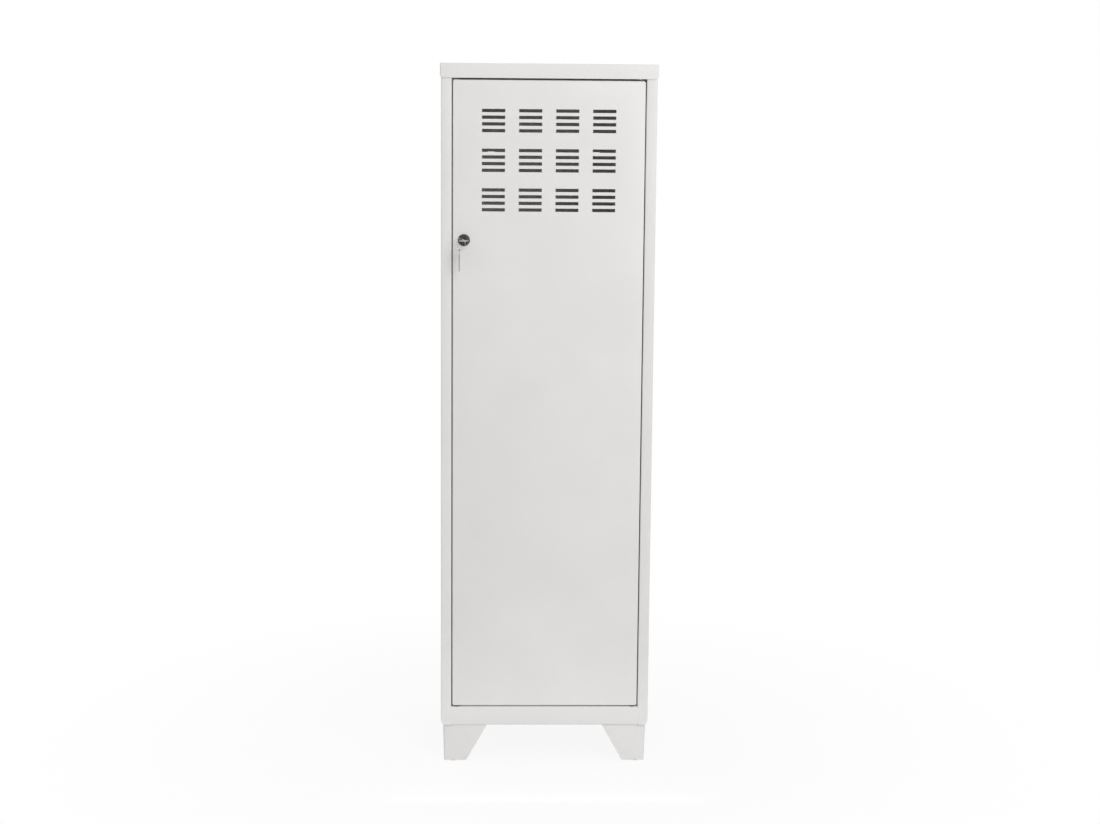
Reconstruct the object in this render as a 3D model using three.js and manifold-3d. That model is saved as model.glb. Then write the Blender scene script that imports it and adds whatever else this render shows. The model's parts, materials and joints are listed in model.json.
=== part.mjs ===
// Single-door ventilated steel locker on four pressed corner feet, with a keyed cam lock.
// Millimetres, +Z up, the door faces -Y. The origin is on the floor, at the middle of the outer box.

import * as THREE from 'three';
import { mergeVertices } from 'three/addons/utils/BufferGeometryUtils.js';
import Module from 'manifold-3d';

const wasm = await Module();
wasm.setup();

// Fits
const seatGap = 0.3; // between fixed neighbours
const runGap = 0.3; // between a shaft and its hole
const past = 1; // a cut runs this far beyond the face it opens
const skirtReach = 40; // size of the cut along the sides' lower edge

// Carcass
const totalHeight = 1343;
const bodyWidth = 402;
const bodyDepth = 400;
const sheet = 0.8;
const bendRadius = 1.2; // inside of a fold
const postWidth = 20; // front face of each post
const postDepth = 26; // front face to the back of the door stop
const stopLip = 12; // door stop, seen from behind the door
const wallLap = 14; // side wall welded inside the post's wing
const backFlange = 10; // back panel's edges, folded to the rear
const skirtInset = 4; // lower edge of the sides slopes in by this
const skirtHeight = 10;
const wallHoleWidth = 17; // wall fixing holes in the back, with round ends
const wallHoleHeight = 6;
const wallHoleDrop = 175.2;
const wallHoleSpacing = 216;

// Cap
const capOverhang = 2;
const capFrontFlange = 27;
const capSideFlange = 23;
const capChamfer = 5.5; // run of the sloped flange corner
const capCornerRadius = 3;

// Header behind the cap
const headerDepth = 40;
const headerUpturn = 12;

// Base
const footHeight = 75; // floor to the underside of the base
const railHeight = 36.8;
const baseLip = 26; // folded under the rail, carries the feet
const baseSideFlange = 15;

// Feet
const footInset = 4;
const footTopWidth = 85.5;
const footBottomWidth = 43;
const footLean = 2; // outer edges draw in towards the floor
const footSheet = 1.5;
const footBend = 2.5;
const footTopFlange = 20;
const solePlate = 34;
const glideRadius = 12;
const glideHeight = 2;
const glideStemRadius = 3.5;

// Door
const doorSideGap = 2;
const doorTopGap = 3.4;
const doorBottomGap = 2.2;
const doorThickness = 18;
const doorLip = 9;
const slotColumns = 4;
const slotRows = 3;
const slotsPerGroup = 4;
const slotWidth = 43;
const slotHeight = 6.2;
const slotPitch = 12.3;
const slotColumnPitch = 68.8;
const slotRowPitch = 73.3;
const slotTopDrop = 56.2; // door's top edge to the first slot's middle
const stiffenerWeb = 12;
const stiffenerFlange = 5;
const stiffenerDepth = 13;
const stiffenerMargin = 30;

// Concealed pivots at the right edge
const pivotInset = 9; // from the door's edge
const pivotSetback = 7; // from the door's face
const pinRadius = 3;
const pinReach = 13; // past the door's edge
const pinHeadRadius = 5;
const pinHeadHeight = 2;
const bushWall = 1.4;
const bushFlange = 2.3; // beyond the bush's wall
const bushLength = 7;

// Door rest and buffers
const restRadius = 7;
const restStemRadius = 2.5;
const bufferRadius = 4.5;
const bufferStemRadius = 1.8;
const barb = 1; // a snap stem's head stands out by this
const bufferShares = [0.124, 0.491, 0.892]; // places along the door's height

// Cam lock
const lockInset = 21; // door's left edge to the lock's axis
const lockHeight = 902; // above the door's lower edge
const lockFaceRadius = 11.3;
const lockProud = 3.5;
const lockChamfer = 2.4; // sloped rim of the face
const barrelRadius = 9;
const barrelFlat = 16; // across the two flats
const plugRadius = 6;
const plugCollar = 1.2; // wider front end of the plug
const plugRecess = 0.5;
const nutFlats = 24;
const nutHeight = 5;
const washerRadius = 13.5;
const washerHeight = 1;
const tailSquare = 7;
const camLength = 30; // axis to tip
const camWidth = 16;
const camSheet = 2.5;
const camClearance = 0.4; // behind the door stop
const camScrewRadius = 2;
const camScrewHead = 4.5;
const camScrewHeight = 3;
const camScrewDepth = 7;

// Keys and ring
const keySheet = 2.4;
const keyBladeWidth = 7;
const keyBladeLength = 20;
const keyNeck = 5;
const keyNeckWidth = 9;
const keyBowRadius = 9;
const keyHoleRadius = 3;
const keyHoleOffset = 3.5; // hole's middle beyond the bow's middle
const keyTip = 3;
const keyCuts = [1.4, 0.7, 1.8, 1.0]; // depths along one edge of the blade
const keyCutWidth = 2.2;
const ringRadius = 11.3; // to the middle of the wire
const wireRadius = 0.7;

// Shelf and clothes rail
const shelfDrop = 340; // top of the locker to the top of the shelf
const shelfSetback = 14; // behind the posts
const shelfGap = 0.5; // to the side walls
const shelfFront = 20;
const shelfReturn = 12;
const shelfSideFlange = 15;
const clipWidth = 20;
const clipLeg = 18;
const clipSheet = 1.5;
const clipMargin = 40;
const railDrop = 60; // top of the shelf to the rail's axis
const railRadius = 11;
const railWall = 1.2;
const cupFlangeRadius = 20;
const cupFlangeHeight = 2;
const cupWall = 2;
const cupDepth = 14;

// Planes that several pieces share, with y measured back from the front face
const halfSheet = sheet / 2;
const foldRadius = bendRadius + sheet; // outside of a fold
const halfWidth = bodyWidth / 2;
const wallOuter = halfWidth - sheet - seatGap;
const wallFace = wallOuter - sheet;
const innerHalf = wallFace - seatGap;
const openingHalf = halfWidth - postWidth;
const baseTop = footHeight + railHeight;
const carcassTop = totalHeight - sheet - seatGap;
const headerBottom = totalHeight - capFrontFlange;
const backFront = bodyDepth - backFlange;
const doorHalf = openingHalf - doorSideGap;
const doorBottom = baseTop + doorBottomGap;
const doorTop = headerBottom - doorTopGap;
const pivotX = doorHalf - pivotInset;
const bushRadius = pinRadius + runGap + bushWall;
const bushFlangeHeight = doorBottomGap - 2 * seatGap;
const stopFront = postDepth - sheet;
const bufferX = -openingHalf + stopLip / 2;
const bufferHeights = bufferShares.map((share) => doorBottom + share * (doorTop - doorBottom));
const lockX = -doorHalf + lockInset;
const lockZ = doorBottom + lockHeight;
const camFront = postDepth + camClearance;
const camBack = camFront + camSheet;
const shoulderY = -lockProud + plugRecess - seatGap;
const bowMiddle = keyNeck + Math.sqrt(keyBowRadius ** 2 - (keyNeckWidth / 2) ** 2);
const keyHole = bowMiddle + keyHoleOffset; // shoulder to the hole's middle
const ringY = shoulderY - keyHole;
const shelfTop = totalHeight - shelfDrop;
const shelfY = postDepth + shelfSetback;
const shelfBack = backFront - shelfGap;
const railZ = shelfTop - railDrop;
const railY = (shelfY + shelfBack) / 2;

// Three.js geometry to a solid with outward faces
function solid(geometry) {
  const bare = geometry.clone();
  bare.deleteAttribute('normal');
  bare.deleteAttribute('uv');
  const merged = mergeVertices(bare);
  const corners = merged.index.array;
  const at = (i) => new THREE.Vector3().fromBufferAttribute(merged.attributes.position, i);
  const triangles = [];
  let volume = 0;
  for (let i = 0; i < corners.length; i += 3) {
    const [a, b, c] = corners.slice(i, i + 3);
    if (a === b || b === c || c === a) continue;
    triangles.push([a, b, c]);
    volume += at(a).dot(at(b).cross(at(c)));
  }
  const outward = volume > 0 ? triangles : triangles.map((corner) => corner.toReversed());
  return new wasm.Manifold(new wasm.Mesh({
    numProp: 3,
    vertProperties: new Float32Array(merged.attributes.position.array),
    triVerts: new Uint32Array(outward.flat()),
  }));
}

function geometryOf(body) {
  const { vertProperties, triVerts } = body.getMesh();
  const geometry = new THREE.BufferGeometry();
  geometry.setAttribute('position', new THREE.BufferAttribute(vertProperties, 3));
  geometry.setIndex(new THREE.BufferAttribute(triVerts, 1));
  geometry.computeVertexNormals();
  return geometry;
}

// Straight prisms: the shape is drawn in (x, y), in (y, z) or in (x, z)
function prism(shape, length, basis, steps) {
  const options = { depth: length, bevelEnabled: false, curveSegments: steps };
  const matrix = new THREE.Matrix4().makeBasis(...basis.map((axis) => new THREE.Vector3(...axis)));
  return new THREE.ExtrudeGeometry(shape, options).applyMatrix4(matrix);
}

function alongZ(shape, from, to, steps = 12) {
  const basis = [[1, 0, 0], [0, 1, 0], [0, 0, 1]];
  return solid(prism(shape, to - from, basis, steps).translate(0, 0, from));
}

function alongX(shape, from, to, steps = 12) {
  const basis = [[0, 1, 0], [0, 0, 1], [1, 0, 0]];
  return solid(prism(shape, to - from, basis, steps).translate(from, 0, 0));
}

function alongY(shape, from, to, steps = 12) {
  const basis = [[1, 0, 0], [0, 0, 1], [0, -1, 0]];
  return solid(prism(shape, to - from, basis, steps).translate(0, to, 0));
}

function block(low, high) {
  const size = high.map((value, i) => value - low[i]);
  const middle = high.map((value, i) => (value + low[i]) / 2);
  return solid(new THREE.BoxGeometry(...size).translate(...middle));
}

function polygon(points) {
  return new THREE.Shape(points.map(([u, v]) => new THREE.Vector2(u, v)));
}

function disc(radius, u = 0, v = 0) {
  return new THREE.Shape().absarc(u, v, radius, 0, 2 * Math.PI);
}

function obround(width, height, u, v) {
  const reach = (width - height) / 2;
  const shape = new THREE.Shape();
  shape.absarc(u + reach, v, height / 2, -Math.PI / 2, Math.PI / 2);
  shape.absarc(u - reach, v, height / 2, Math.PI / 2, 1.5 * Math.PI);
  return shape;
}

// Section of a folded sheet: corners of its middle line, with a round fold at each
function foldedSection(corners, thickness = sheet, inside = bendRadius, steps = 3) {
  const points = corners.map(([u, v]) => new THREE.Vector2(u, v));
  const radius = inside + thickness / 2;
  const line = [];
  const mark = (point, direction) => line.push({ point, side: new THREE.Vector2(-direction.y, direction.x) });
  const heading = (i) => points[i + 1].clone().sub(points[i]).normalize();
  mark(points[0], heading(0));
  for (let i = 1; i < points.length - 1; i += 1) {
    const into = heading(i - 1);
    const out = heading(i);
    const turn = Math.atan2(into.cross(out), into.dot(out));
    const reach = radius * Math.tan(Math.abs(turn) / 2);
    const side = new THREE.Vector2(-into.y, into.x).multiplyScalar(Math.sign(turn) * radius);
    const centre = points[i].clone().addScaledVector(into, -reach).add(side);
    for (let step = 0; step <= steps; step += 1) {
      const angle = (turn * step) / steps;
      const spoke = side.clone().negate().rotateAround(new THREE.Vector2(), angle);
      mark(centre.clone().add(spoke), into.clone().rotateAround(new THREE.Vector2(), angle));
    }
  }
  mark(points.at(-1), heading(points.length - 2));
  const edge = (offset) => line.map(({ point, side }) => point.clone().addScaledVector(side, offset));
  return new THREE.Shape([...edge(thickness / 2), ...edge(-thickness / 2).reverse()]);
}

// Turned pieces: profile points are (radius, height) along an axis
function turned(profile, steps = 24) {
  return new THREE.LatheGeometry(profile.map(([r, h]) => new THREE.Vector2(r, h)), steps);
}

function turnedZ(profile, x, y, steps) {
  return solid(turned(profile, steps).rotateX(Math.PI / 2).translate(x, y, 0));
}

function turnedY(profile, x, z, steps) {
  return solid(turned(profile, steps).translate(x, 0, z));
}

// Materials
function paint(color, roughness, metalness = 0) {
  return () => new THREE.MeshStandardMaterial({ color, roughness, metalness });
}

const whitePaint = paint(0xe6e6e4, 0.45);
const blackPaint = paint(0x2c2d2f, 0.35);
const greyPlastic = paint(0x4a4b4d, 0.6);
const rubber = paint(0x6d6e70, 0.85);
const steel = paint(0xb9babb, 0.35, 1);
const chrome = paint(0xd4d6d8, 0.15, 1);

const locker = new THREE.Group();
locker.position.y = (keyBowRadius - ringY - bodyDepth - capOverhang) / 2;

function place(name, geometry, material, parent = locker) {
  const mesh = new THREE.Mesh(geometry, material());
  mesh.name = name;
  parent.add(mesh);
  return mesh;
}

function add(name, body, material, parent = locker) {
  return place(name, geometryOf(body), material, parent);
}

// Lower edge of the sides: the sheet slopes in, and the neighbours inside it follow at their own depth
function skirtPoint(side, along, depth) {
  const slope = new THREE.Vector2(skirtInset, skirtHeight).normalize();
  const x = halfWidth - skirtInset + slope.x * along - slope.y * depth;
  return [side * x, footHeight + slope.y * along + slope.x * depth];
}

function outsideSkirt(side, depth) {
  const outline = polygon([
    skirtPoint(side, -skirtReach, depth),
    skirtPoint(side, skirtReach, depth),
    skirtPoint(side, skirtReach, -skirtReach),
    skirtPoint(side, -skirtReach, -skirtReach),
  ]);
  return alongY(outline, -past, bodyDepth + past);
}

function skirtStrip(side, depth, top, front, back) {
  const strip = alongY(polygon([
    skirtPoint(side, -past, depth),
    skirtPoint(side, top, depth),
    skirtPoint(side, top, depth + sheet),
    skirtPoint(side, -past, depth + sheet),
  ]), front, back);
  return strip.subtract(block([-bodyWidth, -past, 0], [bodyWidth, bodyDepth + past, footHeight]));
}

const skirtLength = Math.hypot(skirtInset, skirtHeight);
const wallDepth = sheet + seatGap; // side wall behind the post's face, across the slope
const innerDepth = wallDepth + sheet + seatGap;
const wallTuck = (wallDepth * (skirtLength - skirtHeight)) / skirtInset;
const ordered = (a, b) => [Math.min(a, b), Math.max(a, b)];

// Posts: wing on the side wall, front face, return and door stop in one folded sheet
function frontPost(side) {
  const outer = side * (halfWidth - halfSheet);
  const inner = side * (openingHalf + halfSheet);
  const section = foldedSection([
    [outer, postDepth],
    [outer, halfSheet],
    [inner, halfSheet],
    [inner, postDepth - halfSheet],
    [side * (openingHalf - stopLip), postDepth - halfSheet],
  ]);
  const [left, right] = ordered(0, side * openingHalf);
  const clearOfBase = block([left, -past, 0], [right, postDepth + past, baseTop + seatGap]);
  const clearOfHeader = block([left, -past, headerBottom - seatGap], [right, postDepth + past, totalHeight]);
  let post = alongZ(section, footHeight, carcassTop);
  post = post.subtract(clearOfBase).subtract(clearOfHeader).subtract(outsideSkirt(side, 0));
  post = post.add(skirtStrip(side, 0, skirtLength, halfSheet, postDepth));
  for (const height of side < 0 ? bufferHeights : []) {
    const hole = disc(bufferStemRadius + seatGap, bufferX, height);
    post = post.subtract(alongY(hole, stopFront - past, postDepth + past));
  }
  return post;
}

function sideWall(side) {
  const [left, right] = ordered(side * wallFace, side * wallOuter);
  const wall = block([left, postDepth - wallLap, footHeight], [right, bodyDepth, carcassTop]);
  const strip = skirtStrip(side, wallDepth, skirtLength - wallTuck, postDepth - wallLap, bodyDepth);
  return wall.subtract(outsideSkirt(side, wallDepth)).add(strip);
}

// The sloped lower edge is a strip of its own, welded on below the flat wall
const skirtSeam = footHeight + skirtHeight + past;
const belowSeam = block([-bodyWidth, -past, 0], [bodyWidth, bodyDepth + past, skirtSeam + seatGap]);
const aboveSeam = block([-bodyWidth, -past, skirtSeam], [bodyWidth, bodyDepth + past, totalHeight]);

for (const [hand, side] of [['left', -1], ['right', 1]]) {
  add(`${hand}_side`, sideWall(side).subtract(belowSeam), whitePaint);
  add(`${hand}_skirt`, sideWall(side).subtract(aboveSeam), whitePaint);
  add(`${hand}_post`, frontPost(side), whitePaint);
}

// Back panel between the walls, its edges folded to the rear, with two wall fixing holes
function backPanel() {
  const edge = innerHalf - halfSheet;
  let panel = alongZ(foldedSection([
    [-edge, bodyDepth],
    [-edge, backFront + halfSheet],
    [edge, backFront + halfSheet],
    [edge, bodyDepth],
  ]), footHeight, carcassTop);
  for (const side of [-1, 1]) {
    const x = (side * wallHoleSpacing) / 2;
    const hole = obround(wallHoleWidth, wallHoleHeight, x, totalHeight - wallHoleDrop);
    panel = panel.subtract(alongY(hole, backFront - past, bodyDepth));
    panel = panel.subtract(outsideSkirt(side, innerDepth));
  }
  return panel;
}

add('back_panel', backPanel(), whitePaint);

// Base: floor, front rail and rear fold, notched round the posts
function basePan() {
  const rear = backFront - seatGap;
  const low = footHeight + halfSheet;
  const high = baseTop - halfSheet;
  let pan = alongX(foldedSection([
    [baseLip, low],
    [halfSheet, low],
    [halfSheet, high],
    [rear - halfSheet, high],
    [rear - halfSheet, low],
    [rear - baseLip, low],
  ]), -innerHalf, innerHalf);
  for (const side of [-1, 1]) {
    const notch = ordered(side * (openingHalf - seatGap), side * halfWidth);
    const edge = ordered(side * (innerHalf - sheet), side * innerHalf);
    pan = pan.subtract(block([notch[0], -past, 0], [notch[1], postDepth + seatGap, totalHeight]));
    pan = pan.subtract(outsideSkirt(side, innerDepth));
    pan = pan.add(block(
      [edge[0], postDepth + seatGap, baseTop - baseSideFlange],
      [edge[1], rear - foldRadius, baseTop],
    ));
  }
  const pinHole = disc(pinRadius + seatGap, pivotX, pivotSetback);
  const restHole = disc(restStemRadius + seatGap, -pivotX, pivotSetback);
  pan = pan.subtract(alongZ(pinHole, baseTop - foldRadius, totalHeight));
  return pan.subtract(alongZ(restHole, baseTop - foldRadius, totalHeight));
}

add('base_pan', basePan(), whitePaint);

// Header channel behind the cap, between the posts
function headerRail() {
  const top = carcassTop - halfSheet;
  const low = headerBottom + halfSheet;
  const rail = alongX(foldedSection([
    [headerDepth, top],
    [halfSheet, top],
    [halfSheet, low],
    [headerDepth - halfSheet, low],
    [headerDepth - halfSheet, headerBottom + headerUpturn],
  ]), -openingHalf + seatGap, openingHalf - seatGap);
  const pinHole = disc(pinRadius + seatGap, pivotX, pivotSetback);
  return rail.subtract(alongZ(pinHole, headerBottom - past, headerBottom + foldRadius));
}

add('header_rail', headerRail(), whitePaint);

// Cap: a shallow tray turned over, with closed corners and sloped flange ends
function roundedRectangle(left, right, front, back, radius) {
  const shape = new THREE.Shape();
  shape.absarc(left + radius, front + radius, radius, Math.PI, 1.5 * Math.PI);
  shape.absarc(right - radius, front + radius, radius, -0.5 * Math.PI, 0);
  shape.absarc(right - radius, back - radius, radius, 0, 0.5 * Math.PI);
  shape.absarc(left + radius, back - radius, radius, 0.5 * Math.PI, Math.PI);
  return shape;
}

function capBlock(inset, top, radius, corner) {
  const side = halfWidth + capOverhang - inset;
  const front = -capOverhang + inset;
  const back = bodyDepth + capOverhang - inset;
  const low = headerBottom - inset;
  const below = low - 2 * radius;
  const arch = (left, right) => roundedRectangle(left, right, below, top, radius);
  const outline = alongZ(roundedRectangle(-side, side, front, back, corner), low, totalHeight, 3);
  return outline
    .intersect(alongY(arch(-side, side), front, back, 3))
    .intersect(alongX(arch(front, back), -side, side, 3));
}

function topCap() {
  const outside = capBlock(0, totalHeight, foldRadius, capCornerRadius);
  const inside = capBlock(sheet, totalHeight - sheet, bendRadius, capCornerRadius - sheet);
  const edge = halfWidth + capOverhang;
  let cap = outside.subtract(inside);
  for (const side of [-1, 1]) {
    const slope = polygon([
      [side * (edge - capChamfer), headerBottom - past],
      [side * (edge - capChamfer), headerBottom],
      [side * edge, totalHeight - capSideFlange],
      [side * (edge + past), totalHeight - capSideFlange],
      [side * (edge + past), headerBottom - past],
    ]);
    cap = cap.subtract(alongY(slope, -capOverhang - past, bodyDepth + capOverhang + past));
  }
  return cap;
}

add('top_cap', topCap(), whitePaint);

// Studs: a flat head, a stem through the sheet and a snap head behind it
function stud(headRadius, headHeight, stemRadius, grip) {
  const shoulder = headHeight + grip + 2 * seatGap;
  return [
    [0, 0],
    [headRadius, 0],
    [headRadius, headHeight],
    [stemRadius, headHeight],
    [stemRadius, shoulder],
    [stemRadius + barb, shoulder],
    [stemRadius, shoulder + 2 * barb],
    [0, shoulder + 2 * barb],
  ];
}

// Feet: a folded corner with two tapered faces, a bolting flange and a sole for the glide
function foot(signX, signY) {
  const top = footHeight - seatGap;
  const sole = glideHeight + seatGap;
  const half = footSheet / 2;
  const lean = footLean / (top - sole);
  const angle = foldedSection([
    [footTopWidth, half],
    [half, half],
    [half, footTopWidth],
  ], footSheet, footBend);
  const taper = polygon([
    [0, top],
    [footTopWidth, top],
    [footBottomWidth, sole],
    [0, sole],
  ]);
  const flange = polygon([
    [half, half],
    [footTopWidth, half],
    [footTopWidth, footTopFlange],
    [footTopFlange, footTopFlange],
    [footTopFlange, footTopWidth],
    [half, footTopWidth],
  ]);
  const shank = alongZ(angle, sole, top)
    .intersect(alongY(taper, 0, footTopWidth))
    .intersect(alongX(taper, 0, footTopWidth));
  const leaning = geometryOf(shank)
    .translate(0, 0, -top)
    .applyMatrix4(new THREE.Matrix4().makeShear(0, 0, 0, 0, -lean, -lean))
    .translate(0, 0, top);
  const near = footLean + half;
  const far = footLean + solePlate;
  const leg = solid(leaning)
    .add(alongZ(flange, top - footSheet, top))
    .add(block([near, near, sole], [far, far, sole + footSheet]))
    .subtract(alongZ(disc(glideStemRadius + seatGap, glidePlace, glidePlace), 0, footHeight / 2));
  return solid(geometryOf(leg).scale(signX, signY, 1));
}

const glidePlace = footLean + solePlate / 2;
for (const [end, y, signY] of [['front', footInset, 1], ['rear', bodyDepth - footInset, -1]]) {
  for (const [hand, signX] of [['left', 1], ['right', -1]]) {
    const x = signX * (footInset - halfWidth);
    const corner = new THREE.Group();
    corner.position.set(x, y, 0);
    locker.add(corner);
    add(`foot_${end}_${hand}`, foot(signX, signY), whitePaint, corner);
    const glide = stud(glideRadius, glideHeight, glideStemRadius, footSheet);
    add(`glide_${end}_${hand}`, turnedZ(glide, signX * glidePlace, signY * glidePlace), greyPlastic, corner);
  }
}

// Bar with two flats, along Y at the lock's axis
function flattedBar(radius, flats, from, to) {
  const bar = alongY(disc(radius, lockX, lockZ), from, to);
  return bar.intersect(block(
    [lockX - flats / 2, from, lockZ - radius],
    [lockX + flats / 2, to, lockZ + radius],
  ));
}

// Door: a folded pan with slot groups, lips at its sides and returns at its ends
function doorSkin() {
  const edge = doorHalf - halfSheet;
  const back = doorThickness - halfSheet;
  let skin = alongZ(foldedSection([
    [-doorHalf + doorLip, back],
    [-edge, back],
    [-edge, halfSheet],
    [edge, halfSheet],
    [edge, back],
    [doorHalf - doorLip, back],
  ]), doorBottom + foldRadius, doorTop - foldRadius);
  const bushHole = disc(bushRadius + seatGap, pivotX, pivotSetback);
  for (const [level, inward] of [[doorBottom, 1], [doorTop, -1]]) {
    const returned = foldedSection([
      [halfSheet, level + inward * 2 * foldRadius],
      [halfSheet, level + inward * halfSheet],
      [doorThickness, level + inward * halfSheet],
    ]);
    skin = skin.add(alongX(returned, -doorHalf + foldRadius, doorHalf - foldRadius));
    skin = skin.subtract(alongZ(bushHole, level - foldRadius, level + foldRadius));
  }
  for (let column = 0; column < slotColumns; column += 1) {
    const x = (column - (slotColumns - 1) / 2) * slotColumnPitch;
    for (let slot = 0; slot < slotRows * slotsPerGroup; slot += 1) {
      const row = Math.floor(slot / slotsPerGroup);
      const z = doorTop - slotTopDrop - row * slotRowPitch - (slot % slotsPerGroup) * slotPitch;
      skin = skin.subtract(block(
        [x - slotWidth / 2, -past, z - slotHeight / 2],
        [x + slotWidth / 2, sheet + past, z + slotHeight / 2],
      ));
    }
  }
  return skin.subtract(flattedBar(barrelRadius + seatGap, barrelFlat + 2 * seatGap, -past, sheet + past));
}

add('door_skin', doorSkin(), whitePaint);

// Hat-section stiffener down the inside of the door
const stiffenerFront = sheet + seatGap + halfSheet;
const stiffenerBack = stiffenerFront + stiffenerDepth - sheet;
const webEdge = stiffenerWeb / 2 - halfSheet;
const flangeEdge = stiffenerWeb / 2 + stiffenerFlange;
const hat = foldedSection([
  [-flangeEdge, stiffenerFront],
  [-webEdge, stiffenerFront],
  [-webEdge, stiffenerBack],
  [webEdge, stiffenerBack],
  [webEdge, stiffenerFront],
  [flangeEdge, stiffenerFront],
]);
add('door_stiffener', alongZ(hat, doorBottom + stiffenerMargin, doorTop - stiffenerMargin), whitePaint);

// Concealed pivots: a pin in the header, a pin in the base, and a flanged bush in each door return
function pivotPin(seat, tip) {
  const headEnd = seat + Math.sign(seat - tip) * pinHeadHeight;
  return turnedZ([
    [0, tip],
    [pinRadius, tip],
    [pinRadius, seat],
    [pinHeadRadius, seat],
    [pinHeadRadius, headEnd],
    [0, headEnd],
  ], pivotX, pivotSetback, 16);
}

function pivotBush(face, inward) {
  const bore = pinRadius + runGap;
  const seat = face + inward * bushFlangeHeight;
  const end = face + inward * bushLength;
  return turnedZ([
    [bore, face],
    [bushRadius + bushFlange, face],
    [bushRadius + bushFlange, seat],
    [bushRadius, seat],
    [bushRadius, end],
    [bore, end],
    [bore, face],
  ], pivotX, pivotSetback);
}

add('upper_pivot_pin', pivotPin(headerBottom + sheet + seatGap, doorTop - pinReach), steel);
add('lower_pivot_pin', pivotPin(baseTop - sheet - seatGap, doorBottom + pinReach), steel);
add('upper_pivot_bush', pivotBush(doorTop + seatGap + bushFlangeHeight, -1), greyPlastic);
add('lower_pivot_bush', pivotBush(doorBottom - seatGap - bushFlangeHeight, 1), greyPlastic);

// Rest pad under the door's free end, and buffers on the door stop
const restTop = doorBottom - seatGap;
const restHeight = doorBottomGap - 2 * seatGap;
const restProfile = stud(restRadius, restHeight, restStemRadius, sheet).map(([r, h]) => [r, restTop - h]);
add('door_rest', turnedZ(restProfile, -pivotX, pivotSetback), greyPlastic);
bufferHeights.forEach((height, i) => {
  const bufferHead = stopFront - doorThickness - 2 * seatGap;
  const profile = stud(bufferRadius, bufferHead, bufferStemRadius, sheet);
  const outward = profile.map(([r, h]) => [r, doorThickness + seatGap + h]);
  add(`door_buffer_${i + 1}`, turnedY(outward, bufferX, height, 16), rubber);
});

// Cam lock: housing through the door, washer and nut behind it, plug, cam and screw
function lockHousing() {
  const collar = plugRadius + plugCollar + runGap;
  const bore = plugRadius + runGap;
  let housing = turnedY([
    [collar, -lockProud],
    [lockFaceRadius - lockChamfer, -lockProud],
    [lockFaceRadius, -lockProud + lockChamfer],
    [lockFaceRadius, -seatGap],
    [barrelRadius, -seatGap],
    [barrelRadius, postDepth],
    [bore, postDepth],
    [bore, -seatGap],
    [collar, -seatGap],
    [collar, -lockProud],
  ], lockX, lockZ, 32);
  for (const side of [-1, 1]) {
    const flat = ordered(side * barrelFlat / 2, side * lockFaceRadius);
    housing = housing.subtract(block(
      [lockX + flat[0], -seatGap, lockZ - lockFaceRadius],
      [lockX + flat[1], postDepth + past, lockZ + lockFaceRadius],
    ));
  }
  return housing;
}

function lockWasher() {
  const front = sheet + seatGap;
  const bore = barrelRadius + seatGap;
  return turnedY([
    [bore, front],
    [washerRadius, front],
    [washerRadius, front + washerHeight],
    [bore, front + washerHeight],
    [bore, front],
  ], lockX, lockZ);
}

function lockNut() {
  const front = sheet + washerHeight + 2 * seatGap;
  const corner = nutFlats / 2 / Math.cos(Math.PI / 6);
  const hexagon = Array.from({ length: 6 }, (_, i) => [
    lockX + corner * Math.cos((i * Math.PI) / 3),
    lockZ + corner * Math.sin((i * Math.PI) / 3),
  ]);
  const shape = polygon(hexagon);
  shape.holes.push(disc(barrelRadius + seatGap, lockX, lockZ));
  return alongY(shape, front, front + nutHeight);
}

function lockPlug() {
  const face = -lockProud + plugRecess;
  const slotHalf = keyBladeWidth / 2 + seatGap;
  const slotRise = keySheet / 2 + seatGap;
  const half = tailSquare / 2;
  const screwEnd = camBack - camScrewDepth;
  return turnedY([
    [0, face],
    [plugRadius + plugCollar, face],
    [plugRadius + plugCollar, -2 * seatGap],
    [plugRadius, -2 * seatGap],
    [plugRadius, postDepth],
    [0, postDepth],
  ], lockX, lockZ)
    .add(block([lockX - half, postDepth - past, lockZ - half], [lockX + half, camBack, lockZ + half]))
    .subtract(block(
      [lockX - slotHalf, face - past, lockZ - slotRise],
      [lockX + slotHalf, shoulderY + keyBladeLength + seatGap, lockZ + slotRise],
    ))
    .subtract(alongY(disc(camScrewRadius + seatGap, lockX, lockZ), screwEnd, camBack + past, 8));
}

function lockCam() {
  const round = camWidth / 2;
  const half = tailSquare / 2 + seatGap;
  const shape = new THREE.Shape();
  shape.absarc(lockX, lockZ, round, Math.PI, 2 * Math.PI);
  shape.absarc(lockX, lockZ + camLength - round, round, 0, Math.PI);
  return alongY(shape, camFront, camBack, 6)
    .subtract(block(
      [lockX - half, camFront - past, lockZ - half],
      [lockX + half, camBack + past, lockZ + half],
    ));
}

function camScrew() {
  const seat = camBack + seatGap;
  const end = seat - camScrewDepth;
  return turnedY([
    [0, end],
    [camScrewRadius, end],
    [camScrewRadius, seat],
    [camScrewHead, seat],
    [camScrewHead, seat + camScrewHeight],
    [0, seat + camScrewHeight],
  ], lockX, lockZ, 16);
}

add('lock_housing', lockHousing(), blackPaint);
add('lock_washer', lockWasher(), steel);
add('lock_nut', lockNut(), steel);
add('lock_plug', lockPlug(), blackPaint);
add('lock_cam', lockCam(), steel);
add('cam_screw', camScrew(), steel);

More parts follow.
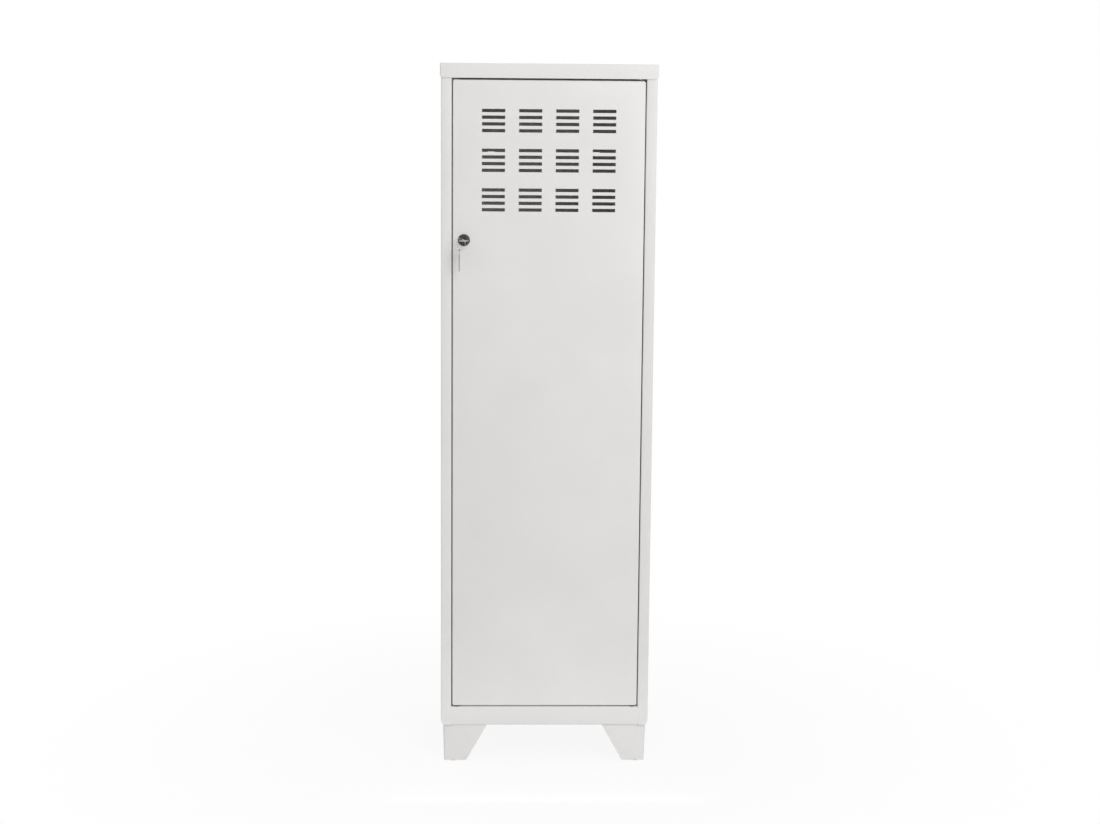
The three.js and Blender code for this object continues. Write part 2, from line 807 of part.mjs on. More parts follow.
// Key: round bow, neck and cut blade in one plate, with its shoulder at the origin
function keyPlate() {
  const blade = keyBladeWidth / 2;
  const neck = keyNeckWidth / 2;
  const opening = Math.asin(neck / keyBowRadius);
  const straight = keyBladeLength - keyTip;
  const pitch = straight / keyCuts.length;
  const shape = new THREE.Shape();
  shape.moveTo(0, -neck);
  shape.lineTo(0, -blade);
  shape.lineTo(straight, -blade);
  shape.lineTo(keyBladeLength, -blade / 3);
  shape.lineTo(keyBladeLength, blade / 3);
  shape.lineTo(straight, blade);
  keyCuts.forEach((depth, i) => {
    const middle = straight - (i + 0.5) * pitch;
    shape.lineTo(middle + keyCutWidth / 2, blade);
    shape.lineTo(middle + keyCutWidth / 4, blade - depth);
    shape.lineTo(middle - keyCutWidth / 4, blade - depth);
    shape.lineTo(middle - keyCutWidth / 2, blade);
  });
  shape.lineTo(0, blade);
  shape.lineTo(0, neck);
  shape.absarc(-bowMiddle, 0, keyBowRadius, opening, 2 * Math.PI - opening);
  shape.holes.push(disc(keyHoleRadius, -keyHole, 0));
  return alongZ(shape, -keySheet / 2, keySheet / 2);
}

const key = add('key', keyPlate(), steel);
key.rotation.z = Math.PI / 2;
key.position.set(lockX, shoulderY, lockZ);

// Ring through the key's hole: it hangs where its wire meets the hole's upper edge
const wireReach = 2 * keyHoleRadius * ringRadius;
const plateReach = keySheet * ringRadius;
const inside = ringRadius - wireRadius - seatGap;
const grip = keyHoleRadius ** 2 + keySheet ** 2 / 4 + ringRadius ** 2 - inside ** 2;
const hang = grip / Math.hypot(wireReach, plateReach);
const ringAngle = Math.atan2(plateReach, wireReach) + Math.asin(hang);
const ringX = lockX - ringRadius * Math.sin(ringAngle);
const ringZ = lockZ - ringRadius * Math.cos(ringAngle);
const wire = Array.from({ length: 9 }, (_, i) => [
  ringRadius + wireRadius * Math.cos((i * Math.PI) / 4),
  wireRadius * Math.sin((i * Math.PI) / 4),
]);
const ring = add('key_ring', turnedY(wire, 0, 0, 28), chrome);
ring.position.set(ringX, ringY, ringZ);

const spareKey = add('spare_key', keyPlate(), steel);
const spareHoleZ = ringZ - ringRadius + wireRadius + seatGap - keyHoleRadius;
spareKey.rotation.y = Math.PI / 2;
spareKey.position.set(ringX, ringY, spareHoleZ - keyHole);

// Shelf: folded tray with a deep front edge, on four angle clips
function shelfTray() {
  const half = wallFace - shelfGap;
  let tray = alongX(foldedSection([
    [shelfY + shelfReturn, shelfTop - shelfFront + halfSheet],
    [shelfY + halfSheet, shelfTop - shelfFront + halfSheet],
    [shelfY + halfSheet, shelfTop - halfSheet],
    [shelfBack - halfSheet, shelfTop - halfSheet],
    [shelfBack - halfSheet, shelfTop - shelfSideFlange],
  ]), -half, half);
  for (const side of [-1, 1]) {
    const edge = ordered(side * half, side * (half - sheet));
    tray = tray.add(block(
      [edge[0], shelfY + foldRadius, shelfTop - shelfSideFlange],
      [edge[1], shelfBack - foldRadius, shelfTop],
    ));
  }
  return tray;
}

function shelfClip(side, from) {
  const wall = wallFace - seatGap;
  const level = shelfTop - shelfSideFlange - seatGap - clipSheet / 2;
  return alongY(foldedSection([
    [side * (wall - clipLeg), level],
    [side * (wall - clipSheet / 2), level],
    [side * (wall - clipSheet / 2), level - clipLeg],
  ], clipSheet, seatGap), from, from + clipWidth);
}

add('shelf', shelfTray(), whitePaint);
for (const [end, from] of [['front', shelfY + clipMargin], ['rear', shelfBack - clipMargin - clipWidth]]) {
  add(`shelf_clip_${end}_left`, shelfClip(-1, from), steel);
  add(`shelf_clip_${end}_right`, shelfClip(1, from), steel);
}

// Clothes rail in a cup on each side wall
const cupBore = railRadius + seatGap;
const railEnd = wallFace - cupFlangeHeight - 2 * seatGap;
const railSection = disc(railRadius, railY, railZ);
railSection.holes.push(disc(railRadius - railWall, railY, railZ));
add('clothes_rail', alongX(railSection, -railEnd, railEnd), chrome);
for (const [hand, side] of [['left', -1], ['right', 1]]) {
  const cup = turned([
    [0, 0],
    [cupFlangeRadius, 0],
    [cupFlangeRadius, cupFlangeHeight],
    [cupBore + cupWall, cupFlangeHeight],
    [cupBore + cupWall, cupFlangeHeight + cupDepth],
    [cupBore, cupFlangeHeight + cupDepth],
    [cupBore, cupFlangeHeight],
    [0, cupFlangeHeight],
  ]).rotateZ((side * Math.PI) / 2).translate(side * (wallFace - seatGap), railY, railZ);
  add(`rail_cup_${hand}`, solid(cup), greyPlastic);
}

export default locker;
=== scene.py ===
import json
import math

import bmesh
import bpy
from mathutils import Matrix, Vector


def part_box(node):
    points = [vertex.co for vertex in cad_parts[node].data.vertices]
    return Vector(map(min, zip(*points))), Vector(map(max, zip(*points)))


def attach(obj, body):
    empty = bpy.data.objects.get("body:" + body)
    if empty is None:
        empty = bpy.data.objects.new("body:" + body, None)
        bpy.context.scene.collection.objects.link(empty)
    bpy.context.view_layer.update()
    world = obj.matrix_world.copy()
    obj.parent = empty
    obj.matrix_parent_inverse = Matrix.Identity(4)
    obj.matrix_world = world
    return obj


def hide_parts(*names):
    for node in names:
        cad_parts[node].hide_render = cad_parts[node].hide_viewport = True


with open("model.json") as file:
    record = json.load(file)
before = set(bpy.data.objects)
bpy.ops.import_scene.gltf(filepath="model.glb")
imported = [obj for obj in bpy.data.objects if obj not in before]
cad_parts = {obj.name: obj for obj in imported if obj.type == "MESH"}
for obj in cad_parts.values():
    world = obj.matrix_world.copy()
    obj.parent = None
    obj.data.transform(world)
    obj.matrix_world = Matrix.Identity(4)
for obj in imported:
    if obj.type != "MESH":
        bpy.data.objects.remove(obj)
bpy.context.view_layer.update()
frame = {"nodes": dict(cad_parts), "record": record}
cad = frame["nodes"]
bodyOf = {node: body for body, members in frame["record"]["behaviour"]["bodies"].items() for node in members}
slotOf = {part["node"]: part["material_slot"] for part in frame["record"]["subparts"]}
sides = (("left", -1), ("right", 1))
print("frame loaded:", len(cad), "nodes")


# finishes

def newFinish(name):
    finish = bpy.data.materials.new(name)
    finish.use_nodes = True
    tree = finish.node_tree
    shader = tree.nodes["Principled BSDF"]
    coords = tree.nodes.new("ShaderNodeTexCoord").outputs["Object"]
    return finish, tree, shader, coords


def noiseOn(tree, coords, scale, detail, stretch=None):
    noise = tree.nodes.new("ShaderNodeTexNoise")
    noise.inputs["Scale"].default_value = scale
    noise.inputs["Detail"].default_value = detail
    source = coords
    if stretch:  # drawn-out grain
        mapping = tree.nodes.new("ShaderNodeMapping")
        mapping.inputs["Scale"].default_value = stretch
        tree.links.new(coords, mapping.inputs["Vector"])
        source = mapping.outputs["Vector"]
    tree.links.new(source, noise.inputs["Vector"])
    return noise.outputs[0]


def spread(tree, source, low, high, fromLow=0.3, fromHigh=0.7):
    span = tree.nodes.new("ShaderNodeMapRange")
    span.inputs["From Min"].default_value = fromLow
    span.inputs["From Max"].default_value = fromHigh
    span.inputs["To Min"].default_value = low
    span.inputs["To Max"].default_value = high
    tree.links.new(source, span.inputs["Value"])
    return span.outputs["Result"]


def tones(tree, source, dark, light, low=0.3, high=0.7):
    ramp = tree.nodes.new("ShaderNodeValToRGB")
    ramp.color_ramp.elements[0].position = low
    ramp.color_ramp.elements[0].color = (*dark, 1)
    ramp.color_ramp.elements[1].position = high
    ramp.color_ramp.elements[1].color = (*light, 1)
    tree.links.new(source, ramp.inputs["Fac"])
    return ramp.outputs["Color"]


def combined(tree, operation, first, second):
    both = tree.nodes.new("ShaderNodeMath")
    both.operation = operation
    tree.links.new(first, both.inputs[0])
    tree.links.new(second, both.inputs[1])
    return both.outputs[0]


# painted highlight: the bevelled edge faces (edgeShare) are mixed towards a lighter colour
def paintedEdgeHighlight(tree, body, highlightMask, colour):
    edge = tree.nodes.new("ShaderNodeAttribute")
    edge.attribute_name = "edgeShare"
    share = combined(tree, "MULTIPLY", edge.outputs["Fac"], highlightMask)  # painted highlight on the bevelled edges, uneven along the edges
    mix = tree.nodes.new("ShaderNodeMix")
    mix.data_type = "RGBA"
    tree.links.new(share, mix.inputs["Factor"])
    tree.links.new(body, mix.inputs[6])
    mix.inputs[7].default_value = (*colour, 1)
    return mix.outputs[2]


def bumped(tree, source, strength, distance, below=None):
    bump = tree.nodes.new("ShaderNodeBump")
    bump.inputs["Strength"].default_value = strength
    bump.inputs["Distance"].default_value = distance
    tree.links.new(source, bump.inputs["Height"])
    if below:
        tree.links.new(below, bump.inputs["Normal"])
    return bump.outputs["Normal"]


def joinShader(tree, shader, colour, rough, normal, metallic=0.0):
    tree.links.new(colour, shader.inputs["Base Color"])
    tree.links.new(rough, shader.inputs["Roughness"])
    tree.links.new(normal, shader.inputs["Normal"])
    shader.inputs["Metallic"].default_value = metallic


# noises are scale and detail, bumps are strength and distance
# the edge colour is a painted highlight on the bevelled edges, lighter than the coat
coat = {
    "dark": (0.785, 0.774, 0.762), "light": (0.824, 0.815, 0.805), "edge": (0.860, 0.852, 0.844),
    "patches": (7.0, 3.0), "peel": (950.0, 1.5), "pores": (3200.0, 1.0), "roughnessAndHighlight": (24.0, 4.0),
    "tone": (0.25, 0.75), "edgeHighlightSpread": (0.2, 0.9), "rough": (0.40, 0.46),
    "peelBump": (0.10, 0.0003), "poreBump": (0.05, 0.0001),
}


def powderCoat():
    finish, tree, shader, coords = newFinish("whitePowderCoat")
    patches = noiseOn(tree, coords, *coat["patches"])
    peel = noiseOn(tree, coords, *coat["peel"])
    pores = noiseOn(tree, coords, *coat["pores"])
    roughnessAndHighlight = noiseOn(tree, coords, *coat["roughnessAndHighlight"])
    body = tones(tree, patches, coat["dark"], coat["light"], *coat["tone"])
    # painted highlight: bevelled edges mixed unevenly towards the lighter edge colour
    colour = paintedEdgeHighlight(tree, body, spread(tree, roughnessAndHighlight, *coat["edgeHighlightSpread"]), coat["edge"])
    skin = bumped(tree, peel, *coat["peelBump"])
    normal = bumped(tree, pores, *coat["poreBump"], skin)
    joinShader(tree, shader, colour, spread(tree, roughnessAndHighlight, *coat["rough"]), normal)
    return finish


zinc = {
    "dark": (0.42, 0.42, 0.43), "light": (0.60, 0.60, 0.60), "spangle": 260.0, "tone": (0.1, 0.8),
    "grain": (900.0, 3.0), "rough": (0.28, 0.44), "bump": (0.08, 0.0002),
}


def zincPlate():
    finish, tree, shader, coords = newFinish("zincPlate")
    cells = tree.nodes.new("ShaderNodeTexVoronoi")
    cells.inputs["Scale"].default_value = zinc["spangle"]
    tree.links.new(coords, cells.inputs["Vector"])
    grain = noiseOn(tree, coords, *zinc["grain"])
    colour = tones(tree, cells.outputs["Distance"], zinc["dark"], zinc["light"], *zinc["tone"])
    rough = spread(tree, grain, *zinc["rough"])
    joinShader(tree, shader, colour, rough, bumped(tree, grain, *zinc["bump"]), 1.0)
    return finish


# the edge colour is a painted highlight: the bevelled rim of the lock is drawn lighter grey
lockCoat = {
    "dark": (0.024, 0.024, 0.026), "light": (0.046, 0.046, 0.049), "edge": (0.30, 0.30, 0.31),
    "grain": (1500.0, 3.0), "rub": (420.0, 3.0), "bare": (0.0, 0.55, 0.4, 0.75),
    "rough": (0.20, 0.34), "bump": (0.10, 0.0001), "metallic": 0.25,
}


def blackLockCoat():
    finish, tree, shader, coords = newFinish("blackLockCoat")
    grain = noiseOn(tree, coords, *lockCoat["grain"])
    rub = noiseOn(tree, coords, *lockCoat["rub"])
    body = tones(tree, grain, lockCoat["dark"], lockCoat["light"])
    # painted highlight: the bevelled rim is mixed towards the lighter edge colour where the rub noise
    # allows; the rub noise also sets the roughness
    colour = paintedEdgeHighlight(tree, body, spread(tree, rub, *lockCoat["bare"]), lockCoat["edge"])
    rough = spread(tree, rub, *lockCoat["rough"])
    normal = bumped(tree, grain, *lockCoat["bump"])
    joinShader(tree, shader, colour, rough, normal, lockCoat["metallic"])
    return finish


keyMetal = {
    "dark": (0.32, 0.31, 0.29), "light": (0.50, 0.49, 0.46), "lines": (300.0, 4.0, (1.0, 1.0, 24.0)),
    "rub": (500.0, 3.0), "rough": (0.24, 0.40), "bump": (0.12, 0.0001),
}


def nickelPlate():
    finish, tree, shader, coords = newFinish("nickelKeyPlate")
    lines = noiseOn(tree, coords, *keyMetal["lines"])
    rub = noiseOn(tree, coords, *keyMetal["rub"])
    colour = tones(tree, lines, keyMetal["dark"], keyMetal["light"])
    rough = spread(tree, rub, *keyMetal["rough"])
    joinShader(tree, shader, colour, rough, bumped(tree, lines, *keyMetal["bump"]), 1.0)
    return finish


bright = {
    "dark": (0.43, 0.43, 0.42), "light": (0.51, 0.51, 0.50), "film": (90.0, 3.0),
    "lines": (500.0, 3.0, (0.05, 1.0, 1.0)), "rough": (0.12, 0.18), "bump": (0.05, 0.0001),
}


def brightPlate():
    finish, tree, shader, coords = newFinish("brightPlate")
    film = noiseOn(tree, coords, *bright["film"])
    lines = noiseOn(tree, coords, *bright["lines"])
    colour = tones(tree, film, bright["dark"], bright["light"])
    rough = spread(tree, film, *bright["rough"])
    joinShader(tree, shader, colour, rough, bumped(tree, lines, *bright["bump"]), 1.0)
    return finish


moulded = {
    "dark": (0.055, 0.055, 0.058), "light": (0.090, 0.090, 0.094), "grain": (2200.0, 2.0),
    "flow": (90.0, 3.0), "rough": (0.50, 0.64), "bump": (0.18, 0.0002),
}


def mouldedPlastic():
    finish, tree, shader, coords = newFinish("greyMouldedPlastic")
    grain = noiseOn(tree, coords, *moulded["grain"])
    flow = noiseOn(tree, coords, *moulded["flow"])
    colour = tones(tree, flow, moulded["dark"], moulded["light"])
    rough = spread(tree, flow, *moulded["rough"])
    joinShader(tree, shader, colour, rough, bumped(tree, grain, *moulded["bump"]))
    return finish


softRubber = {
    "dark": (0.12, 0.12, 0.125), "light": (0.19, 0.19, 0.195), "dust": (350.0, 4.0),
    "rough": (0.78, 0.92), "bump": (0.20, 0.0002),
}


def greyRubber():
    finish, tree, shader, coords = newFinish("softGreyRubber")
    dust = noiseOn(tree, coords, *softRubber["dust"])
    colour = tones(tree, dust, softRubber["dark"], softRubber["light"])
    rough = spread(tree, dust, *softRubber["rough"])
    joinShader(tree, shader, colour, rough, bumped(tree, dust, *softRubber["bump"]))
    return finish


finishOf = {
    "white_paint": powderCoat(), "zinc_steel": zincPlate(), "black_lock": blackLockCoat(),
    "key_steel": nickelPlate(), "ring_chrome": brightPlate(), "grey_plastic": mouldedPlastic(),
    "rubber": greyRubber(),
}
print("finishes made:", len(finishOf))


# pieces

smoothBelow = math.radians(38)  # faces that meet at less shade as one


def asPiece(name, bm, slot, body, keptFlat=()):
    for face in bm.faces:
        face.smooth = True
    for edge in bm.edges:
        edge.smooth = edge.is_manifold and edge.calc_face_angle(0.0) < smoothBelow
    for edge in keptFlat:
        edge.smooth = False
    mesh = bpy.data.meshes.new(name)
    bm.to_mesh(mesh)
    bm.free()
    mesh.materials.append(finishOf[slot])
    piece = bpy.data.objects.new(name, mesh)
    bpy.context.scene.collection.objects.link(piece)
    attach(piece, body)
    return piece


def atCorners(kind):
    return [f"{kind}_{end}_{hand}" for end in ("front", "rear") for hand in ("left", "right")]


def alike(nodes, edge):
    return dict.fromkeys(nodes, edge)


# rounded edge of each pressed, cut or moulded piece, in metres
edgeOf = {
    **alike(("left_side", "right_side", "left_skirt", "right_skirt", "left_post", "right_post"), 0.0002),
    **alike(("back_panel", "base_pan", "header_rail", "top_cap", "door_skin", "door_stiffener"), 0.0002),
    **alike(atCorners("foot") + atCorners("glide"), 0.0004),
    **alike(("upper_pivot_pin", "lower_pivot_pin", "upper_pivot_bush", "lower_pivot_bush"), 0.0003),
    "door_rest": 0.0005,
    **alike(("door_buffer_1", "door_buffer_2", "door_buffer_3"), 0.00035),
    "lock_housing": 0.0003, "lock_washer": 0.0002, "lock_nut": 0.0003,
    "lock_plug": 0.0002, "lock_cam": 0.0003, "key": 0.00025, "spare_key": 0.00025, "shelf": 0.0002,
    **alike(atCorners("shelf_clip"), 0.0003),
    "clothes_rail": 0.0003, "rail_cup_left": 0.0005, "rail_cup_right": 0.0005,
}
rounding = {
    "merge": 0.000002, "flat": math.radians(1.0), "sharp": math.radians(40), "segments": 2,
    "pierced": ("lock_cam", "key", "spare_key"),  # plates with a hole, kept in triangles
}


def softened(node, edge):
    bm = bmesh.new()
    bm.from_mesh(cad[node].data)
    bmesh.ops.remove_doubles(bm, verts=bm.verts, dist=rounding["merge"])
    bmesh.ops.dissolve_limit(bm, angle_limit=rounding["flat"], verts=bm.verts, edges=bm.edges)
    if node in rounding["pierced"]:
        bmesh.ops.triangulate(bm, faces=bm.faces[:], quad_method="BEAUTY", ngon_method="BEAUTY")
    share = bm.faces.layers.float.new("edgeShare")
    paired = [e for e in bm.edges if len(e.link_faces) == 2]
    sharp = [e for e in paired if e.calc_face_angle(0.0) > rounding["sharp"]]
    made = bmesh.ops.bevel(
        bm, geom=sharp, offset=edge, offset_type="OFFSET", segments=rounding["segments"], profile=0.5,
        affect="EDGES", material=-1, clamp_overlap=True)
    for face in made["faces"]:
        face[share] = 1.0
    bmesh.ops.dissolve_degenerate(bm, dist=rounding["merge"], edges=bm.edges)
    borders = [e for e in bm.edges if len({f[share] for f in e.link_faces}) == 2]  # flat sheet stays flat
    piece = asPiece(node + "_finished", bm, slotOf[node], bodyOf[node], borders)
    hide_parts(node)


for node, edge in edgeOf.items():
    softened(node, edge)
print("edges rounded:", len(edgeOf))


# welds ground flush where the base meets the posts and along the seam above each skirt
fill = {
    "inner": 0.1804, "outer": 0.1833, "depth": 0.0012, "proud": 0.00001, "edge": 0.0021, "seam": 0.0008,
    "level": 0.0001, "round": 0.0003, "segments": 3,
}


def flushStrip(name, low, high, along):
    bm = bmesh.new()
    strip = bmesh.ops.create_cube(bm, size=1.0)["verts"]
    bmesh.ops.scale(bm, verts=strip, vec=[b - a for a, b in zip(low, high)])
    bmesh.ops.translate(bm, verts=strip, vec=[(a + b) / 2 for a, b in zip(low, high)])
    ends = [e for e in bm.edges if abs(e.verts[0].co[along] - e.verts[1].co[along]) < fill["level"]]
    bmesh.ops.bevel(
        bm, geom=ends, offset=fill["round"], segments=fill["segments"], profile=0.5,
        affect="EDGES", material=-1)
    asPiece(name, bm, "white_paint", "carcass")


def groundWelds():
    low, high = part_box("base_pan")
    bottom, top = low[2] + fill["edge"], high[2] - fill["edge"]
    front = low[1] - fill["proud"]
    for hand, side in sides:
        across = sorted((side * fill["inner"], side * fill["outer"]))
        flushStrip(
            f"ground_weld_{hand}", (across[0], front, bottom), (across[1], front + fill["depth"], top), 2)
        wallLow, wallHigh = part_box(f"{hand}_side")
        face = max(abs(wallLow[0]), abs(wallHigh[0])) + fill["proud"]
        across = sorted((side * face, side * (face - fill["seam"])))
        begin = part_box(f"{hand}_post")[1][1] - fill["edge"]
        flushStrip(
            f"skirt_weld_{hand}", (across[0], begin, wallLow[2] - fill["seam"]),
            (across[1], wallHigh[1] - fill["edge"], wallLow[2] + fill["seam"]), 1)


groundWelds()
print("welds ground")


def turnedAlong(axis):
    return Vector((0, 0, 1)).rotation_difference(Vector(axis)).to_matrix().to_4x4()


# screws with a domed head and a six-sided socket
screw = {
    "head": 0.0035, "rise": 0.0022, "socket": 0.0016, "depth": 0.0012, "steps": 24,
    "dome": ((0.45, 0.985), (0.78, 0.86), (0.95, 0.68)),  # shares of the rise and of the head
}


def domedScrew(name, at, axis, body, size):
    bm = bmesh.new()
    rim = bmesh.ops.create_circle(bm, cap_ends=False, radius=screw["head"], segments=screw["steps"])["verts"]
    ring = list(bm.edges)
    for height, radius in screw["dome"]:
        grown = bmesh.ops.extrude_edge_only(bm, edges=ring)["geom"]
        loop = [v for v in grown if isinstance(v, bmesh.types.BMVert)]
        ring = [e for e in grown if isinstance(e, bmesh.types.BMEdge)]
        ring = [e for e in ring if all(v in loop for v in e.verts)]
        for v in loop:
            flat = Vector((v.co.x, v.co.y, 0)).normalized() * screw["head"] * radius
            v.co = (flat.x, flat.y, screw["rise"] * height)
    hexagon = bmesh.ops.create_circle(bm, cap_ends=False, radius=screw["socket"], segments=6)["verts"]
    bmesh.ops.translate(bm, verts=hexagon, vec=(0, 0, screw["rise"]))
    hexEdges = list({e for v in hexagon for e in v.link_edges})
    bmesh.ops.bridge_loops(bm, edges=ring + hexEdges)
    sunk = bmesh.ops.extrude_edge_only(bm, edges=hexEdges)["geom"]
    floor = [v for v in sunk if isinstance(v, bmesh.types.BMVert)]
    bmesh.ops.translate(bm, verts=floor, vec=(0, 0, -screw["depth"]))
    bmesh.ops.contextual_create(bm, geom=floor)
    bmesh.ops.contextual_create(bm, geom=rim)
    bmesh.ops.recalc_face_normals(bm, faces=bm.faces)
    place = Matrix.Translation(at) @ turnedAlong(axis) @ Matrix.Scale(size, 4)
    bmesh.ops.transform(bm, matrix=place, verts=bm.verts)
    return asPiece(name, bm, "zinc_steel", body)


# hexagon bolts on a washer, under the foot flanges
bolt = {
    "flats": 0.010, "rise": 0.0042, "edge": 0.0004, "segments": 2,
    "washer": 0.0068, "taper": 0.97, "thick": 0.0008, "steps": 24,
    "fromCorner": (0.0115, 0.066), "flange": 0.0015,
}


def hexBolt(name, at, axis):
    bm = bmesh.new()
    bmesh.ops.create_cone(
        bm, cap_ends=True, segments=bolt["steps"], depth=bolt["thick"],
        radius1=bolt["washer"], radius2=bolt["washer"] * bolt["taper"],
        matrix=Matrix.Translation((0, 0, bolt["thick"] / 2)))
    corner = bolt["flats"] / math.sqrt(3)
    head = bmesh.ops.create_cone(
        bm, cap_ends=True, segments=6, radius1=corner, radius2=corner, depth=bolt["rise"],
        matrix=Matrix.Translation((0, 0, bolt["thick"] + bolt["rise"] / 2)))["verts"]
    edges = list({e for v in head for e in v.link_edges})
    bmesh.ops.bevel(
        bm, geom=edges, offset=bolt["edge"], segments=bolt["segments"], profile=0.5,
        affect="EDGES", material=-1)
    bmesh.ops.transform(bm, matrix=Matrix.Translation(at) @ turnedAlong(axis), verts=bm.verts)
    asPiece(name, bm, "zinc_steel", "carcass")


near, far = bolt["fromCorner"]
for end in ("front", "rear"):
    for hand in ("left", "right"):
        low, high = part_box(f"foot_{end}_{hand}")
        signX = 1 if hand == "left" else -1
        signY = 1 if end == "front" else -1
        cornerX = low[0] if signX > 0 else high[0]
        cornerY = low[1] if signY > 0 else high[1]
        under = high[2] - bolt["flange"]
        for count, (u, v) in enumerate(((near, far), (far, near)), 1):
            place = (cornerX + signX * u, cornerY + signY * v, under)
            hexBolt(f"foot_bolt_{end}_{hand}_{count}", place, (0, 0, -1))
print("foot bolts placed")

cupScrew = {"ring": 0.0163, "plate": 0.002, "size": 0.75}
for hand, inward in (("left", 1), ("right", -1)):
    low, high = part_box(f"rail_cup_{hand}")
    middleY, middleZ = (low[1] + high[1]) / 2, (low[2] + high[2]) / 2
    wall = low[0] if inward > 0 else high[0]
    for count, rise in enumerate((cupScrew["ring"], -cupScrew["ring"]), 1):
        place = (wall + inward * cupScrew["plate"], middleY, middleZ + rise)
        domedScrew(f"cup_screw_{hand}_{count}", place, (inward, 0, 0), "carcass", cupScrew["size"])

camScrew = {"head": 0.003, "size": 1.3}
low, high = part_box("cam_screw")
place = ((low[0] + high[0]) / 2, high[1] - camScrew["head"], (low[2] + high[2]) / 2)
camHead = domedScrew("cam_screw_finished", place, (0, 1, 0), "lock", camScrew["size"])
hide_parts("cam_screw")
print("screws placed")


# weld marks where the sheets are joined
weld = {
    "radius": 0.0032, "sunk": 0.0005, "steps": 16, "rim": 0.0007, "slope": 0.0006,
    "dish": 0.00012, "fall": 0.7, "first": 0.05, "pitch": 0.12, "count": 11,
    "fromPostEdge": 0.007, "fromWallEdge": 0.005,
}


def weldMarks(name, places, axis):
    bm = bmesh.new()
    outward = Vector(axis)
    for place in places:
        middle = Vector(place) - outward * weld["sunk"] / 2
        spot = bmesh.ops.create_cone(
            bm, cap_ends=True, segments=weld["steps"], radius1=weld["radius"], radius2=weld["radius"],
            depth=weld["sunk"], matrix=Matrix.Translation(middle) @ turnedAlong(axis))["verts"]
        faces = {f for v in spot for f in v.link_faces}
        face = max(faces, key=lambda f: f.calc_center_median().dot(outward))
        bmesh.ops.inset_region(bm, faces=[face], thickness=weld["rim"], depth=weld["dish"])
        bmesh.ops.inset_region(bm, faces=[face], thickness=weld["slope"], depth=-weld["dish"] * weld["fall"])
    asPiece(name, bm, "white_paint", "carcass")


for hand, side in sides:
    low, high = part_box(f"{hand}_post")
    outer = high[0] if side > 0 else low[0]
    rows = [low[2] + weld["first"] + weld["pitch"] * i for i in range(weld["count"])]
    places = [(outer, high[1] - weld["fromPostEdge"], z) for z in rows]
    weldMarks(f"post_welds_{hand}", places, (side, 0, 0))
    low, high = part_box(f"{hand}_side")
    outer = high[0] if side > 0 else low[0]
    places = [(outer, high[1] - weld["fromWallEdge"], z) for z in rows]
    weldMarks(f"rear_welds_{hand}", places, (side, 0, 0))
print("weld marks placed")


# wire ring of two close turns, with cut ends; the pitch is in wire radii
wire = {"radius": 0.00036, "turns": 1.92, "pitch": 2.05, "steps": 56, "sides": 10, "merge": 0.000001}


def splitRing():
    low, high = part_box("key_ring")
    middle = [(low[i] + high[i]) / 2 for i in range(3)]
    across = (high[2] - low[2]) / 2 - wire["radius"]
    rise = wire["radius"] * wire["pitch"]
    upright = Matrix.Rotation(math.pi / 2, 4, "X")
    bm = bmesh.new()
    section = bmesh.ops.create_circle(
        bm, cap_ends=True, radius=wire["radius"], segments=wire["sides"],
        matrix=Matrix.Translation((across, 0, 0)) @ upright)["verts"]
    face = section[0].link_faces[0]
    bmesh.ops.spin(
        bm, geom=[face] + list(face.edges) + list(face.verts), cent=(0, 0, 0), axis=(0, 0, 1),
        dvec=(0, 0, rise / wire["steps"]), angle=2 * math.pi * wire["turns"],
        steps=int(wire["steps"] * wire["turns"]), use_merge=False, use_duplicate=False)
    bmesh.ops.remove_doubles(bm, verts=bm.verts, dist=wire["merge"])
    bmesh.ops.recalc_face_normals(bm, faces=bm.faces)
    heights = [v.co.z for v in bm.verts]
    bmesh.ops.translate(bm, verts=bm.verts, vec=(0, 0, -(max(heights) + min(heights)) / 2))
    bmesh.ops.transform(bm, matrix=Matrix.Translation(middle) @ upright, verts=bm.verts)
    piece = asPiece("key_ring_finished", bm, "ring_chrome", "ring")
    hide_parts("key_ring")


splitRing()
print("key ring wound")


# stage

view = {
    "place": (-0.1038, -3.9743, 1.2776), "pitch": 8.80, "roll": 0.48, "yaw": -1.66,
    "lens": 66.08, "sensor": 36.0, "farthest": 100,
}


def makeCamera():
    data = bpy.data.cameras.new("camera")
    data.lens = view["lens"]
    data.sensor_width = view["sensor"]
    data.sensor_fit = "HORIZONTAL"
    data.clip_end = view["farthest"]
    camera = bpy.data.objects.new("camera", data)
    level = Matrix(((1, 0, 0), (0, 0, -1), (0, 1, 0)))  # right, down, forward
    turn = (Matrix.Rotation(math.radians(view["roll"]), 3, "Z")
            @ Matrix.Rotation(math.radians(view["pitch"]), 3, "X")
            @ Matrix.Rotation(math.radians(view["yaw"]), 3, "Y") @ level)
    pose = Matrix((turn[0], -turn[1], -turn[2])).transposed().to_4x4()
    pose.translation = view["place"]
    camera.matrix_world = pose
    bpy.context.scene.collection.objects.link(camera)
    bpy.context.scene.camera = camera


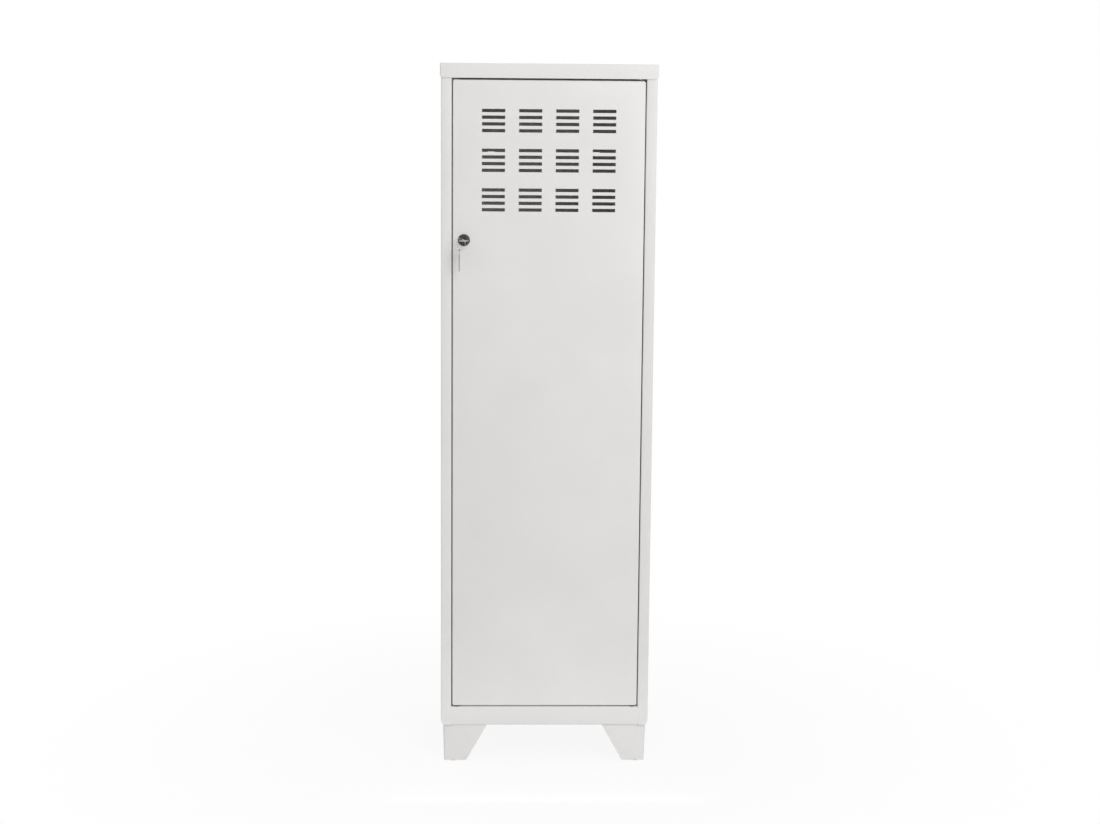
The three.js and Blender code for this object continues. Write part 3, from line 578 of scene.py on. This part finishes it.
# the shadow fades out between near and reach, in metres from the middle
studio = {
    "sky": 0.49, "floor": (0.86, 0.86, 0.86), "rough": 0.9, "radius": 40, "steps": 64,
    "shadow": 0.10, "near": 0.3, "reach": 1.1,
    "lamps": (  # name, place, target, width, height, power
        ("keyLamp", (1.3, -2.4, 2.2), (0, 0, 1.2), 2.0, 2.0, 38),
        ("fillLamp", (-2.6, -2.4, 2.4), (0, 0, 1.2), 2.0, 2.0, 5),
        ("topLamp", (0.2, -0.6, 3.4), (0, 0, 0.9), 2.2, 2.2, 4),
        ("lowLamp", (0, -0.42, 0.03), (0, -0.18, 0.02), 0.6, 0.04, 0.09),
        ("innerLamp", (0, 0.02, 1.3), (0, 0.05, 1.0), 0.25, 0.25, 0.02),
        ("backLamp", (-1.4, 2.8, 1.8), (0, 0, 0.7), 2.2, 2.2, 30),
    ),
}


def seenRays(tree):
    path = tree.nodes.new("ShaderNodeLightPath")
    mirrored = combined(tree, "MAXIMUM", path.outputs["Is Glossy Ray"], path.outputs["Is Transmission Ray"])
    return combined(tree, "MAXIMUM", path.outputs["Is Camera Ray"], mirrored)


def makeFloor():
    bm = bmesh.new()
    bmesh.ops.create_circle(bm, cap_ends=True, radius=studio["radius"], segments=studio["steps"])
    mesh = bpy.data.meshes.new("studioFloor")
    bm.to_mesh(mesh)
    bm.free()
    floor = bpy.data.objects.new("studioFloor", mesh)
    bpy.context.scene.collection.objects.link(floor)
    paper, tree, shader, coords = newFinish("studioPaper")
    shader.inputs["Base Color"].default_value = (*studio["floor"], 1)
    shader.inputs["Roughness"].default_value = studio["rough"]
    shader.inputs["Specular IOR Level"].default_value = 0.0
    glow = tree.nodes.new("ShaderNodeEmission")
    away = tree.nodes.new("ShaderNodeVectorMath")
    away.operation = "LENGTH"
    tree.links.new(coords, away.inputs[0])
    keep = spread(tree, away.outputs["Value"], 1.0 - studio["shadow"], 1.0, studio["near"], studio["reach"])
    blend = tree.nodes.new("ShaderNodeMixShader")
    tree.links.new(combined(tree, "MULTIPLY", keep, seenRays(tree)), blend.inputs[0])
    tree.links.new(shader.outputs[0], blend.inputs[1])
    tree.links.new(glow.outputs[0], blend.inputs[2])
    tree.links.new(blend.outputs[0], tree.nodes["Material Output"].inputs["Surface"])
    mesh.materials.append(paper)


def makeSky():
    world = bpy.data.worlds.new("studioSky")
    world.use_nodes = True
    bpy.context.scene.world = world
    tree = world.node_tree
    background = tree.nodes["Background"]
    background.inputs["Color"].default_value = (1, 1, 1, 1)
    strength = spread(tree, seenRays(tree), studio["sky"], 1.0, 0.0, 1.0)
    tree.links.new(strength, background.inputs["Strength"])


def makeLamps():
    for name, place, target, width, height, power in studio["lamps"]:
        data = bpy.data.lights.new(name, "AREA")
        data.shape = "RECTANGLE"
        data.size = width
        data.size_y = height
        data.energy = power
        lamp = bpy.data.objects.new(name, data)
        lamp.visible_camera = False
        lamp.location = place
        lamp.rotation_euler = (Vector(target) - Vector(place)).to_track_quat("-Z", "Y").to_euler()
        bpy.context.scene.collection.objects.link(lamp)


makeCamera()
makeFloor()
makeSky()
makeLamps()
bpy.context.scene.view_settings.view_transform = "Standard"
print("stage set")
